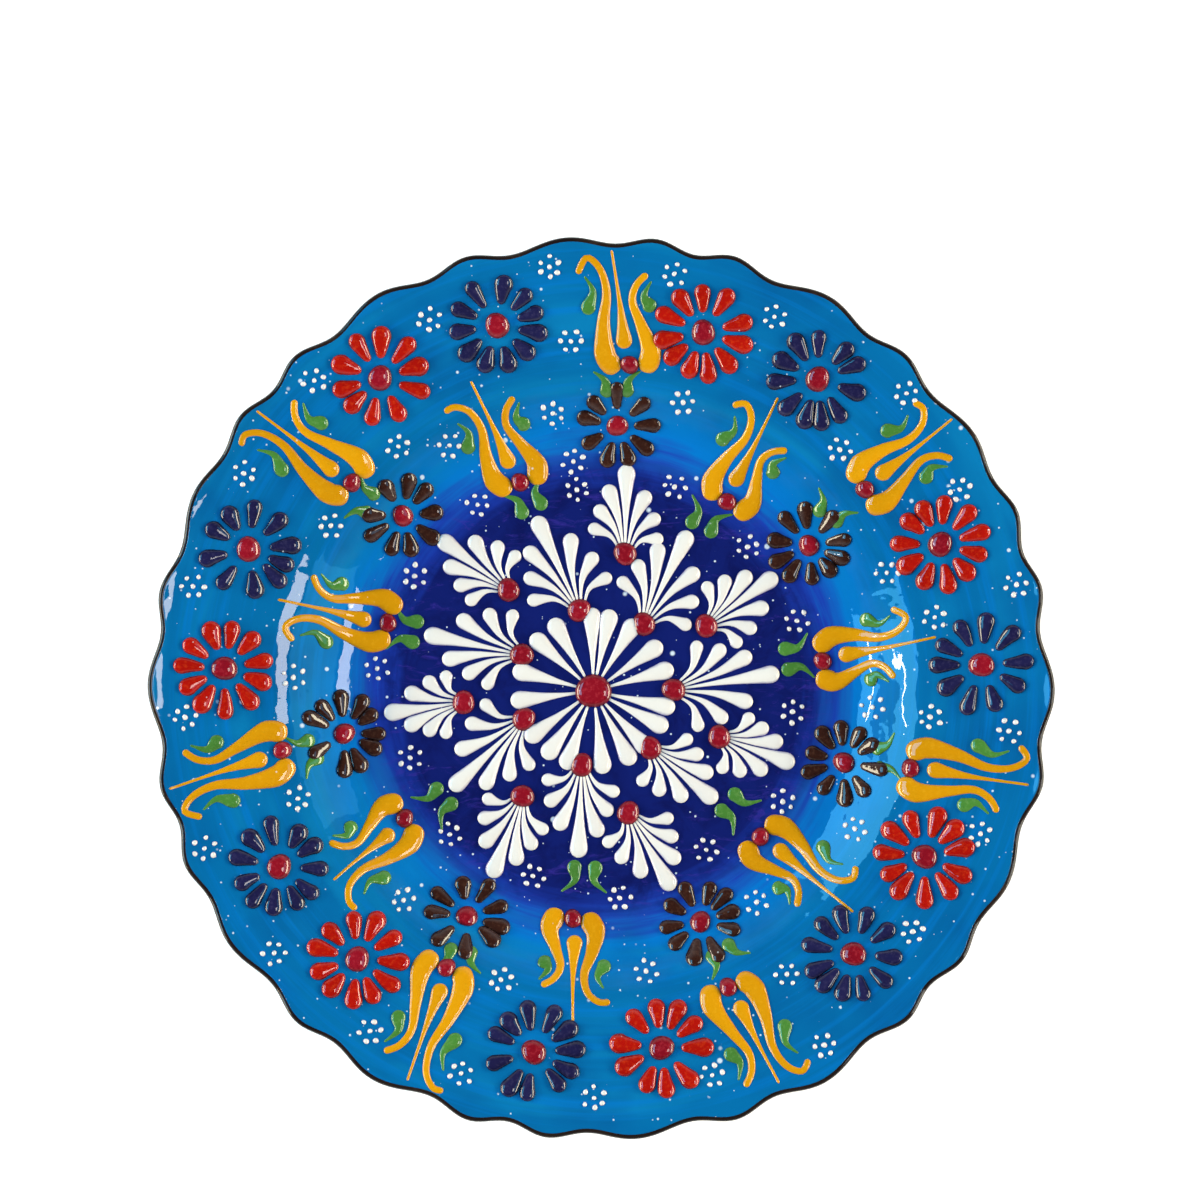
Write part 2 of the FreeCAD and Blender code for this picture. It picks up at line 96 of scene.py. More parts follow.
# How far the enamel stands up: a bead's own height, and a stroke's share of its half width.
CENTRE_BEAD_RISE = 1.9
BEAD_RISE = 1.7
SMALL_BEAD_RISE = 1.6
DOT_RISE = 0.45
PETAL_RISE = 0.62
TULIP_RISE = 0.36
SPRAY_RISE = 0.45
LEAF_RISE = 0.4
# How far every dab reaches below the coat's surface.
SINK = 0.12

# Petals: (inner end, outer end, half width), with radii from the flower's centre.
RED_PETAL = (5.5, 14.0, 2.6)
NAVY_PETAL = (5.9, 14.1, 2.45)
BROWN_PETAL = (4.6, 11.9, 2.25)

# Flowers: (angle and radius of the centre, angles of the petals).
RED_FLOWERS = (
    (23.0, 102.5, (84, 116, 145, 180, 213, 246, 280, 314, 346, 16, 48)),
    (74.0, 103.0, (92, 57, 14, -16, -52, -84, 249, 219, 190, 155, 124)),
    (125.5, 106.0, (88, 122, 160, 196, 225, 258, 298, 343, 16, 50)),
    (177.0, 105.0, (108, 80, 46, 11, -21, -52, -90, 237, 208, 177, 146)),
    (228.0, 101.5, (96, 135, 165, 198, 227, 266, 294, 325, -3, 30, 63)),
    (279.5, 101.5, (98, 66, 35, 0, -47, -82, 249, 207, 173, 133)),
    (332.5, 101.5, (110, 72, 44, 12, -25, -55, -90, 234, 205, 174, 143)))
NAVY_FLOWERS = (
    (3.5, 106.0, (120, 84, 45, 5, -30, -70, 252, 213, 180, 153)),
    (55.0, 105.0, (88, 45, 20, -18, -58, -85, 253, 222, 183, 152, 121)),
    (106.0, 105.0, (80, 47, 19, -11, -42, -75, 253, 221, 189, 158, 124)),
    (158.5, 105.5, (82, 44, 4, -21, -45, -82, 232, 194, 151, 118)),
    (209.0, 102.5, (100, 60, 30, -3, -38, -63, -97, 233, 205, 168, 136)),
    (259.5, 103.0, (98, 62, 33, 3, -26, -53, -98, 235, 196, 155, 128)),
    (313.5, 102.0, (107, 72, 35, -3, -40, -76, -106, -135, 203, 168, 136)))
BROWN_FLOWERS = (
    (34.5, 70.5, (96, 131, 170, 205, 238, 276, 310, 338, 8, 50)),
    (86.5, 73.5, (90, 40, 0, -37, -72, -105, -150, 168, 135)),
    (139.0, 73.5, (80, 48, 7, -35, -78, 252, 212, 178, 120)),
    (190.0, 73.0, (96, 62, 35, 0, -25, -62, -90, 215, 155, 130)),
    (239.5, 74.0, (98, 55, 16, -18, -43, -90, 218, 174, 142)),
    (293.0, 71.0, (73, 46, 18, -12, -62, -100, 222, 190, 150, 115)),
    (343.0, 71.0, (95, 60, 32, -10, -55, -90, 232, 195, 162, 125)))

# Tulips: (angle and radius of the bead, axis angle, middle stroke, left reach, left hook, right reach).
OUTER_TULIPS = (
    (345.5, 89.0, 352, 33, 31.5, 2.5, 25.5), (37.0, 92.0, 39, 31, 26.5, 1.0, 24.0),
    (85.0, 90.5, 99, 32, 31.0, 4.0, 24.0), (140.5, 90.0, 143, 33, 31.5, 1.0, 26.5),
    (191.0, 90.5, 199, 33, 31.0, 4.0, 26.0), (241.0, 89.0, 251, 33, 32.5, 0.0, 27.5),
    (293.0, 90.5, 298, 30, 30.0, 2.0, 26.5))
INNER_TULIPS = (
    (7.0, 62.5, 12, 32, 25.0, 3.5, 18.5), (56.0, 63.0, 64, 32, 26.5, 2.0, 20.0),
    (111.5, 62.0, 116, 31, 26.5, 0.0, 22.0), (163.0, 62.5, 168, 31, 27.5, 3.0, 23.0),
    (213.5, 66.0, 221, 26, 26.5, 0.0, 20.0), (263.0, 65.0, 270, 29, 23.0, 0.0, 18.5),
    (317.0, 61.0, 321, 33, 27.0, 1.5, 20.0))

# Palmettes round the medallion's centre: (angle and radius of the bead, axis angle, middle stroke).
INNER_PALMETTES = (
    (1, 22.5, 9, 30.0), (53, 23.5, 64, 29.0), (100, 23.0, 115, 29.0), (153, 22.5, 168, 28.0),
    (202, 21.0, 224, 28.5), (261, 21.0, 268, 26.0), (315, 22.5, 321, 24.0))
OUTER_PALMETTES = (
    (30, 36.5, 36, 24.5), (77, 39.5, 89, 25.0), (130, 37.0, 143, 24.5), (185, 36.5, 188, 22.5),
    (236, 35.5, 249, 24.5), (286, 35.5, 300, 25.0), (340, 37.5, 340, 22.5))
# Strokes of a palmette: (turn from the axis, share of the middle stroke's length, half width of the head).
PALMETTE_FAN = ((0, 1.0, 2.55), (16, 0.8, 2.3), (-19, 0.75, 2.3), (33, 0.63, 2.1), (-41, 0.58, 2.1),
                (55, 0.51, 1.9), (-68, 0.46, 1.9))
# How far the leaf pair at the tip of each inner palmette sits to the left of its axis.
LEAF_SHIFTS = (3.5, -2.6, 0.0, 0.0, 0.0, 1.9, 1.9)
RAY_INNER_RADIUS = 4.6
RAY_OUTER_RADIUS = 23.4
CENTRE_RAYS = (16, 35, 59, 78, 91, 120, 138, 165, 187, 216, 234, 250, 277, 298, 313, 333, 348)

# Clusters of white dots: (angle, radius).
DOT_CLUSTERS = (
    (14, 119), (29, 114), (44, 118), (65, 114), (80, 117), (97, 118), (115, 113), (133, 117), (149, 116),
    (166, 117), (184, 116), (202, 119), (219, 117), (236, 115), (250, 114), (269, 114), (286, 112),
    (302, 117), (322, 110), (339, 113), (354, 114), (12, 95), (22, 86), (45, 94), (74, 83), (95, 97),
    (100, 78), (122, 80), (130, 88), (149, 88), (178, 86), (200, 90), (227, 81), (251, 86), (279, 80),
    (303, 95), (306, 74), (331, 81), (355, 92), (356, 76), (19, 58), (44, 57), (70, 60), (97, 56),
    (97, 64), (124, 62), (149, 61), (175, 63), (200, 57), (224, 59), (250, 56), (275, 59), (303, 54),
    (328, 60), (353, 54))


# ---- layout of the strokes ----

# Samples along each kind of stroke, from end to end.
DROP_STEPS = 22
LEAF_STEPS = 24
PALMETTE_STEPS = 28
TULIP_STEPS = (48, 44, 36)


def polar(angle, radius, about=(0.0, 0.0)):
    turn = math.radians(angle)
    return (about[0] + radius * math.cos(turn), about[1] + radius * math.sin(turn))


def place(along, across, origin, angle):
    """A point given along and across an axis, in plate coordinates."""
    turn = math.radians(angle)
    return (origin[0] + along * math.cos(turn) - across * math.sin(turn),
            origin[1] + along * math.sin(turn) + across * math.cos(turn))


def direction(start, end):
    return math.degrees(math.atan2(end[1] - start[1], end[0] - start[0]))


def curve_at(points, part):
    """Catmull-Rom curve through the points, with part from 0 to 1."""
    spans = len(points) - 1
    span = min(int(part * spans), spans - 1)
    s = part * spans - span
    before = points[max(span - 1, 0)]
    after = points[min(span + 2, spans)]
    values = []
    for p, q, r, w in zip(before, points[span], points[span + 1], after):
        cubic = (3 * q - p - 3 * r + w) * s ** 3
        square = (2 * p - 5 * q + 4 * r - w) * s ** 2
        values.append(0.5 * (2 * q + (r - p) * s + square + cubic))
    return tuple(values)


def brush(points, fat, thin, fat_end, steps, power):
    """Samples (x, y, half width) of a stroke that is fat up to fat_end of its length and then thins out."""
    fine = 90
    dense = [curve_at(points, i / fine) for i in range(fine + 1)]
    run = [0.0]
    for a, b in zip(dense, dense[1:]):
        run.append(run[-1] + math.dist(a, b))
    length = run[-1]
    samples = []
    for i in range(steps + 1):
        at = length * (0.5 - 0.5 * math.cos(math.pi * i / steps))
        k = min(sum(1 for r in run if r <= at + 1e-9) - 1, fine - 1)
        f = (at - run[k]) / max(run[k + 1] - run[k], 1e-9)
        x = dense[k][0] + f * (dense[k + 1][0] - dense[k][0])
        y = dense[k][1] + f * (dense[k + 1][1] - dense[k][1])
        past = max(at / length - fat_end, 0.0) / (1 - fat_end)
        half = thin + (fat - thin) * (1 - past) ** power
        head = min(at / fat, 1.0)
        tail = min((length - at) / max(thin, 0.5), 1.0)
        half *= math.sqrt(1 - (1 - head) ** 2) * math.sqrt(1 - (1 - tail) ** 2)
        samples.append((x, y, half))
    return samples


def drop(tip, fat_point, fat, thin, bend, power):
    """Teardrop from its round fat end to its thin tip; bend moves its middle sideways by that share."""
    across = (tip[1] - fat_point[1], fat_point[0] - tip[0])
    middle = ((tip[0] + fat_point[0]) / 2 + across[0] * bend, (tip[1] + fat_point[1]) / 2 + across[1] * bend)
    length = math.dist(tip, fat_point)
    return brush((fat_point, middle, tip), fat, thin, 1.15 * fat / length, DROP_STEPS, power)


def flower_petals(centre, angles, inner, outer, fat, rng):
    petals = []
    for angle in angles:
        reach = outer + rng.uniform(-0.7, 0.7)
        width = fat * rng.uniform(0.9, 1.1)
        bend = rng.uniform(-0.04, 0.04)
        petals.append(drop(polar(angle, inner, centre), polar(angle, reach, centre), width, 0.9, bend, 0.9))
    return petals


def tulip_strokes(bead, axis, middle, left, hook, right):
    """Two side strokes whose bulbs hug the bead and whose thin ends curl outwards, and a middle one."""
    k = left / 30
    q = right / 25
    left_route = ((-1.2, 3.2), (3.4, 6.2), (12.0 * k, 5.4), (20.0 * k, 3.2), (26.5 * k, 4.0),
                  (left, 7.2), (left - hook, 10.4))
    right_route = ((-2.6, -3.6), (2.4, -6.4), (10.8 * q, -4.9), (17.6 * q, -3.5), (22.2 * q, -5.2),
                   (right, -8.8))
    middle_route = ((4.6, 0.6), (9.6, 0.3), (18.0, 0.0), (middle, 0.0))
    kinds = ((left_route, 3.0, 0.95, 0.17, 2.9), (right_route, 3.0, 1.0, 0.19, 2.8),
             (middle_route, 2.3, 0.4, 0.1, 3.4))
    strokes = []
    for (route, fat, thin, fat_end, power), steps in zip(kinds, TULIP_STEPS):
        points = [place(along, across, bead, axis) for along, across in route]
        strokes.append(brush(points, fat, thin, fat_end, steps, power))
    return strokes


def palmette_strokes(bead, axis, length):
    """A fountain of strokes: thin tails leave the bead side by side and bend out to their round heads."""
    strokes = []
    for turn, share, fat in PALMETTE_FAN:
        reach = length * share
        head = polar(axis + turn, reach, bead)
        middle = polar(axis + 0.76 * turn, 0.55 * reach, bead)
        tail = polar(axis + 0.85 * turn, SPRAY_BEAD - 0.4, bead)
        strokes.append(brush((head, middle, tail), fat, 0.36, 1.4 * fat / reach, PALMETTE_STEPS, 1.8))
    return strokes


def centre_ray(angle):
    tip = polar(angle, RAY_INNER_RADIUS, MEDALLION_CENTRE)
    return drop(tip, polar(angle, RAY_OUTER_RADIUS, MEDALLION_CENTRE), 2.65, 0.4, 0.0, 1.65)


def leaf(route, origin, axis):
    """A comma: round head first, thin hooked tail last."""
    points = [place(along, across, origin, axis) for along, across in route]
    return brush(points, 2.1, 0.35, 0.22, LEAF_STEPS, 1.7)


def tulip_leaves(bead, axis, left, right):
    left_route = ((0.50 * left, 9.6), (0.58 * left, 8.6), (0.70 * left, 6.9), (0.84 * left, 8.6))
    right_route = ((0.56 * right, -8.8), (0.65 * right, -7.9), (0.76 * right, -7.0), (0.91 * right, -9.6))
    return [leaf(left_route, bead, axis), leaf(right_route, bead, axis)]


def leaf_pair(origin, axis, route):
    """The same leaf on both sides of an axis."""
    return [leaf([(along, side * across) for along, across in route], origin, axis) for side in (1, -1)]


def all_leaves():
    leaves = []
    for angle, radius, axis, middle, left, hook, right in OUTER_TULIPS + INNER_TULIPS:
        leaves += tulip_leaves(polar(angle, radius), axis, left, right)
    for flower, tulip in zip(BROWN_FLOWERS, OUTER_TULIPS[1:] + OUTER_TULIPS[:1]):
        centre = polar(flower[0], flower[1])
        towards = direction(centre, polar(tulip[0], tulip[1])) + 12
        leaves += leaf_pair(centre, towards, ((7.8, 2.6), (10.4, 2.9), (12.8, 3.6), (15.0, 6.6)))
    for (angle, radius, axis, length), shift in zip(INNER_PALMETTES, LEAF_SHIFTS):
        tip = polar(axis, length, polar(angle, radius, MEDALLION_CENTRE))
        middle = polar(axis + 90, shift, tip)
        leaves += leaf_pair(middle, axis, ((0.6, 3.1), (3.0, 2.9), (6.4, 2.8), (9.6, 6.4)))
    return leaves


def cluster_dots(angle, radius, rng):
    """Six dots round a seventh."""
    centre = polar(angle, radius)
    first = rng.uniform(0, 60)
    ring = [polar(first + 60 * i + rng.uniform(-6, 6), WHITE_DOT_RING + rng.uniform(-0.3, 0.3), centre)
            for i in range(6)]
    return [centre] + ring


# ---- heights and outline of the body ----

def rim_waves(angle):
    return sum(height * math.cos(math.radians(lobes * angle + phase)) for lobes, height, phase in SCALLOPS)


def face_height(radius):
    """Height of the clay's upper face above the resting plane."""
    along = 0.0
    height = WELL_LEVEL
    heading = 0.0
    for step in FACE_ROUTE:
        if len(step) == 1:
            end = along + step[0] * math.cos(heading)
            if radius <= end:
                return height + (radius - along) * math.tan(heading)
            height += step[0] * math.sin(heading)
            along = end
            continue
        bend = step[0] if step[1] > 0 else -step[0]
        centre = (along - bend * math.sin(heading), height + bend * math.cos(heading))
        heading += math.radians(step[1])
        end = centre[0] + bend * math.sin(heading)
        if radius <= end:
            return centre[1] - bend * math.cos(math.asin((radius - centre[0]) / bend))
        along = end
        height = centre[1] - bend * math.cos(heading)
    return height + (radius - along) * math.tan(heading)


# Heights of the face worked out once, every HEIGHT_STEP from the axis to past the rim.
HEIGHT_STEP = 0.25
HEIGHT_REACH = 132
HEIGHTS = [face_height(i * HEIGHT_STEP) for i in range(int(HEIGHT_REACH / HEIGHT_STEP))]


def coat_height(x, y):
    """Height of the glaze coat's surface at a place on the plate."""
    at = math.hypot(x, y) / HEIGHT_STEP
    i = int(at)
    return HEIGHTS[i] + (at - i) * (HEIGHTS[i + 1] - HEIGHTS[i]) + COAT_THICKNESS


def ease(value):
    t = min(max(value, 0.0), 1.0)
    return t * t * (3 - 2 * t)


# ---- meshes ----

def make_piece(name, vertices, faces, material):
    """New smooth object from vertices in millimetres."""
    mesh = bpy.data.meshes.new(name)
    mesh.from_pydata([(x * MM, y * MM, z * MM) for x, y, z in vertices], [], faces)
    mesh.validate()
    mesh.shade_smooth()
    piece = bpy.data.objects.new(name, mesh)
    bpy.context.scene.collection.objects.link(piece)
    mesh.materials.append(material)
    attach(piece, "root")
    return piece


def add_layer(piece, name, values):
    layer = piece.data.attributes.new(name, "FLOAT", "POINT")
    layer.data.foreach_set("value", values)


def lathe(name, section, material, closed):
    """Mesh turned round the axis. A section that isn't closed starts and ends on the axis.

    Each section point is (radius, height, share), where share says how far the radius follows the scallops.
    """
    vertices = []
    faces = []
    rings = []
    for radius, height, follow in section:
        if radius == 0:
            rings.append([len(vertices)] * TURN_STEPS)
            vertices.append((0.0, 0.0, height(0.0) if callable(height) else height))
            continue
        ring = []
        for i in range(TURN_STEPS):
            angle = 360 * i / TURN_STEPS
            x, y = polar(angle, radius + follow * rim_waves(angle))
            ring.append(len(vertices))
            vertices.append((x, y, height(math.hypot(x, y)) if callable(height) else height))
        rings.append(ring)
    pairs = list(zip(rings, rings[1:]))
    if closed:
        pairs.append((rings[-1], rings[0]))
    for inner, outer in pairs:
        for i in range(TURN_STEPS):
            j = (i + 1) % TURN_STEPS
            corners = [inner[i], outer[i], outer[j], inner[j]]
            if inner[i] == inner[j]:
                corners = corners[:3]
            elif outer[i] == outer[j]:
                corners = [inner[i], outer[i], inner[j]]
            faces.append(corners)
    return make_piece(name, vertices, faces, material)


class Dabs:
    """Mesh of several raised strokes and beads of one colour."""

    def __init__(self):
        self.vertices = []
        self.faces = []
        self.crown = []
        self.tone = []

    def add_vertex(self, x, y, rise, crown, tone):
        self.vertices.append((x, y, coat_height(x, y) + rise))
        self.crown.append(crown)
        self.tone.append(tone)
        return len(self.vertices) - 1

    def stroke(self, samples, rise, tone, sides=12):
        """Domed stroke along the samples, closed below, sunk a little into the coat."""
        last = len(samples) - 1
        rows = []
        for i, (x, y, half) in enumerate(samples):
            if half < 0.02:
                rows.append([self.add_vertex(x, y, -SINK, 0.0, tone)])
                continue
            before = samples[max(i - 1, 0)]
            after = samples[min(i + 1, last)]
            dx = after[0] - before[0]
            dy = after[1] - before[1]
            length = math.hypot(dx, dy)
            top = rise * half ** 0.85
            row = []
            for k in range(sides + 1):
                across = -math.cos(math.pi * k / sides)
                dome = math.sqrt(max(1 - across * across, 0.0))
                up = -SINK + (top + SINK) * dome
                side_x = x - dy / length * half * across
                side_y = y + dx / length * half * across
                row.append(self.add_vertex(side_x, side_y, up, dome, tone))
            rows.append(row)
        for a, b in zip(rows, rows[1:]):
            self.join(a, b)

    def join(self, a, b):
        """Faces between two cross sections, over the top and underneath."""
        if len(a) == 1 and len(b) == 1:
            return
        if len(a) == 1 or len(b) == 1:
            ring = b if len(a) == 1 else a
            point = a[0] if len(a) == 1 else b[0]
            loop = ring + ring[:1]
            for p, q in zip(loop, loop[1:]):
                self.faces.append((point, p, q) if len(a) == 1 else (point, q, p))
            return
        loop_a = a + a[:1]
        loop_b = b + b[:1]
        for k in range(len(a)):
            self.faces.append((loop_a[k], loop_b[k], loop_b[k + 1], loop_a[k + 1]))

    def bead(self, centre, radius, rise, tone, rng, around=28, rings=7, wobble=0.05):
        """Round dome with a slightly uneven outline."""
        shift = rng.uniform(0, 6.28)
        top = self.add_vertex(centre[0], centre[1], rise, 1.0, tone)
        bottom = self.add_vertex(centre[0], centre[1], -SINK, 0.0, tone)
        previous = [top] * around
        for k in range(1, rings + 1):
            tilt = math.pi / 2 * k / rings
            dome = math.cos(tilt)
            row = []
            for i in range(around):
                turn = 2 * math.pi * i / around
                reach = radius * math.sin(tilt)
                reach *= 1 + wobble * (math.sin(2 * turn + shift) + 0.5 * math.sin(3 * turn + 2 * shift))
                x = centre[0] + reach * math.cos(turn)
                y = centre[1] + reach * math.sin(turn)
                row.append(self.add_vertex(x, y, -SINK + (rise + SINK) * dome, dome, tone))
            self.ring_faces(previous, row)
            previous = row
        self.ring_faces(previous, [bottom] * around)

    def ring_faces(self, inner, outer):
        count = len(inner)
        for i in range(count):
            j = (i + 1) % count
            if inner[i] == inner[j]:
                self.faces.append((inner[i], outer[i], outer[j]))
            elif outer[i] == outer[j]:
                self.faces.append((inner[i], outer[i], inner[j]))
            else:
                self.faces.append((inner[i], outer[i], outer[j], inner[j]))

    def finish(self, name, node, slot, material):
        piece = make_piece(name, self.vertices, self.faces, material)
        add_layer(piece, "crown", self.crown)
        add_layer(piece, "tone", self.tone)
        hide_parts(node)


# ---- materials ----

GLAZE_ROUGHNESS = 0.03


class Graph:
    """A procedural material under construction."""

    def __init__(self, name):
        self.material = bpy.data.materials.new(name)
        self.material.use_nodes = True
        self.tree = self.material.node_tree
        self.tree.nodes.clear()
        output = self.tree.nodes.new("ShaderNodeOutputMaterial")
        self.shader = self.tree.nodes.new("ShaderNodeBsdfPrincipled")
        self.tree.links.new(self.shader.outputs[0], output.inputs[0])
        self.place = self.tree.nodes.new("ShaderNodeTexCoord").outputs["Object"]

    def feed(self, socket, value):
        if isinstance(value, bpy.types.NodeSocket):
            self.tree.links.new(value, socket)
        elif value is not None:
            socket.default_value = value

    def math(self, operation, a, b):
        node = self.tree.nodes.new("ShaderNodeMath")
        node.operation = operation
        self.feed(node.inputs[0], a)
        self.feed(node.inputs[1], b)
        return node.outputs[0]

    def vector(self, operation, a, b=None):
        node = self.tree.nodes.new("ShaderNodeVectorMath")
        node.operation = operation
        self.feed(node.inputs[0], a)
        self.feed(node.inputs[1], b)
        return node.outputs["Value"] if operation == "LENGTH" else node.outputs[0]

    def noise(self, vector, scale, detail=3.0, roughness=0.5, distortion=0.0):
        node = self.tree.nodes.new("ShaderNodeTexNoise")
        self.feed(node.inputs["Vector"], vector)
        node.inputs["Scale"].default_value = scale
        node.inputs["Detail"].default_value = detail
        node.inputs["Roughness"].default_value = roughness
        node.inputs["Distortion"].default_value = distortion
        return node.outputs["Fac"]

    def cells(self, vector, scale):
        """Distance to the nearest cell centre, and the cell's own random colour."""
        node = self.tree.nodes.new("ShaderNodeTexVoronoi")
        self.feed(node.inputs["Vector"], vector)
        node.inputs["Scale"].default_value = scale
        return node.outputs["Distance"], node.outputs["Color"]

    def flecks(self, vector, scale, size, rarity, strength):
        """Small round flecks: the share of the cells above rarity carry one, of up to the given size."""
        distance, cell = self.cells(vector, scale)
        pick, spread = self.split(cell)[:2]
        reach = self.math("MULTIPLY", self.math("ADD", spread, 0.4), size)
        inside = self.span(distance, self.math("MULTIPLY", reach, 1.4), self.math("MULTIPLY", reach, 0.8))
        chosen = self.math("MULTIPLY", self.math("GREATER_THAN", pick, rarity), inside)
        return self.math("MULTIPLY", chosen, strength)

    def ramp(self, value, stops):
        """Colour along a row of (place, colour) stops."""
        node = self.tree.nodes.new("ShaderNodeValToRGB")
        ramp = node.color_ramp
        ramp.interpolation = "LINEAR"
        while len(ramp.elements) < len(stops):
            ramp.elements.new(1.0)
        for element, (position, color) in zip(ramp.elements, stops):
            element.position = position
            element.color = (*color, 1.0)
        self.feed(node.inputs[0], value)
        return node.outputs[0]

    def span(self, value, low, high, to_low=0.0, to_high=1.0):
        """The value's place between low and high, mapped to another range and held inside it."""
        node = self.tree.nodes.new("ShaderNodeMapRange")
        for socket, number in zip(node.inputs, (value, low, high, to_low, to_high)):
            self.feed(socket, number)
        return node.outputs[0]

    def mix(self, factor, a, b, blend="MIX"):
        node = self.tree.nodes.new("ShaderNodeMix")
        node.data_type = "RGBA"
        node.blend_type = blend
        self.feed(node.inputs[0], factor)
        for socket, value in ((node.inputs[6], a), (node.inputs[7], b)):
            self.feed(socket, (*value, 1.0) if isinstance(value, tuple) else value)
        return node.outputs[2]

    def attribute(self, name):
        node = self.tree.nodes.new("ShaderNodeAttribute")
        node.attribute_name = name
        return node.outputs["Fac"]

    def split(self, vector):
        node = self.tree.nodes.new("ShaderNodeSeparateXYZ")
        self.feed(node.inputs[0], vector)
        return node.outputs

    def join(self, x, y, z):
        node = self.tree.nodes.new("ShaderNodeCombineXYZ")
        for socket, value in zip(node.inputs, (x, y, z)):
            self.feed(socket, value)
        return node.outputs[0]

    def bump(self, height, strength, distance):
        node = self.tree.nodes.new("ShaderNodeBump")
        node.inputs["Strength"].default_value = strength
        node.inputs["Distance"].default_value = distance
        self.feed(node.inputs["Height"], height)
        return node.outputs[0]

    def finish(self, color, roughness, normal=None, coat=1.0):
        """Colour the surface. A coat of clear glaze does all the mirroring; without one the body does."""
        self.feed(self.shader.inputs["Base Color"], (*color, 1.0) if isinstance(color, tuple) else color)
        self.feed(self.shader.inputs["Roughness"], roughness)
        self.feed(self.shader.inputs["Normal"], normal)
        self.feed(self.shader.inputs["Coat Normal"], normal)
        self.shader.inputs["Specular IOR Level"].default_value = 0.0 if coat > 0 else 0.5
        self.shader.inputs["Coat Weight"].default_value = coat
        self.shader.inputs["Coat Roughness"].default_value = GLAZE_ROUGHNESS
        return self.material


TURQUOISE = (0.001, 0.145, 0.385)
PALE_TURQUOISE = (0.003, 0.205, 0.47)
DEEP_TURQUOISE = (0.001, 0.095, 0.30)
SKY = (0.001, 0.180, 0.60)
TRANSITION = (0.012, 0.045, 0.42)
COBALT = (0.005, 0.012, 0.14)
NIGHT = (0.003, 0.005, 0.07)
VIOLET = (0.045, 0.028, 0.33)
FLECK = (0.72, 0.80, 0.92)

# Colours of the coat from the axis outwards, at shares of COAT_REACH.
# Materials work in metres, and the scale of a noise is in features per metre.
COAT_REACH = 0.125
COAT_STOPS = ((0.0, COBALT), (0.44, COBALT), (0.52, TRANSITION), (0.575, SKY), (0.67, TURQUOISE),
              (1.0, TURQUOISE))
# Layers of flecks: (cells per metre, size, share of bare cells where few and where many, strength).
FLECK_LAYERS = ((560.0, 0.11, 0.40, 0.66, 0.93, 0.50, 0.9), (300.0, 0.15, 0.42, 0.68, 0.985, 0.88, 0.95))


def brushed_wall(g, base, flat, around, radius, streaks):
    """Pale, deep and sky-blue brushwork over the turquoise, from the edge of the well outwards."""
    round_x, round_y = around
    outside = g.span(radius, 0.060, 0.072)
    broad = g.noise(g.join(round_x, round_y, g.math("MULTIPLY", radius, 90.0)), 1.0, 3.0, 0.55, 0.4)
    light = g.math("MULTIPLY", g.span(broad, 0.47, 0.66, 0.0, 0.75), outside)
    base = g.mix(light, base, PALE_TURQUOISE)
    patches = g.noise(flat, 28.0, 3.0, 0.55)
    dark = g.math("MULTIPLY", g.span(patches, 0.48, 0.68, 0.0, 0.7), outside)
    base = g.mix(dark, base, DEEP_TURQUOISE)
    fine = g.math("MULTIPLY", g.span(streaks, 0.48, 0.70, 0.0, 0.6), outside)
    return g.mix(fine, base, SKY)


def scuffed_well(g, base, flat, x, y, radius):
    """Darker clouds all over the cobalt, and violet scuffs near its edge."""
    inside = g.math("SUBTRACT", 1.0, g.span(radius, 0.058, 0.066))
    murky = g.math("MULTIPLY", g.span(g.noise(flat, 75.0, 4.0, 0.7, 0.6), 0.48, 0.66), inside)
    base = g.mix(g.math("MULTIPLY", murky, 0.65), base, NIGHT)
    stretched = g.join(g.math("MULTIPLY", x, 1.0), g.math("MULTIPLY", y, 3.2), 0.0)
    scuffed = g.noise(stretched, 90.0, 5.0, 0.75, 0.8)
    ring = g.math("MULTIPLY", g.span(radius, 0.038, 0.050), inside)
    scuffs = g.math("MULTIPLY", g.span(scuffed, 0.54, 0.70), ring)
    return g.mix(g.math("MULTIPLY", scuffs, 0.75), base, VIOLET)


def coat_material():
    """Cobalt in the well, running over a violet-blue band into brushed turquoise, with fine white flecks."""
    g = Graph("blue_coat")
    x, y = g.split(g.place)[:2]
    flat = g.join(x, y, 0.0)
    radius = g.vector("LENGTH", flat)
    around = g.split(g.vector("NORMALIZE", flat))[:2]
    sweep = g.join(g.math("MULTIPLY", around[0], 1.6), g.math("MULTIPLY", around[1], 1.6),
                   g.math("MULTIPLY", radius, 420.0))
    streaks = g.noise(sweep, 1.0, 4.0, 0.6)
    wander = g.math("MULTIPLY", g.math("SUBTRACT", g.noise(flat, 40.0, 2.0), 0.5), 0.010)
    brushed = g.math("MULTIPLY", g.math("SUBTRACT", streaks, 0.5), 0.012)
    at = g.math("ADD", g.math("ADD", radius, wander), brushed)
    base = g.ramp(g.span(at, 0.0, COAT_REACH), COAT_STOPS)
    base = brushed_wall(g, base, flat, around, radius, streaks)
    base = scuffed_well(g, base, flat, x, y, radius)
    crowd = g.noise(g.vector("ADD", flat, (0.3, 0.1, 0.0)), 17.0, 2.0, 0.6)
    for cells, size, low, high, few, many, strength in FLECK_LAYERS:
        rarity = g.span(crowd, low, high, few, many)
        base = g.mix(g.flecks(flat, cells, size, rarity, strength), base, FLECK)
    waves = g.math("ADD", g.noise(flat, 34.0, 2.0), g.math("MULTIPLY", g.noise(flat, 130.0, 2.0), 0.16))
    return g.finish(base, 0.32, g.bump(waves, 1.0, 0.0010))


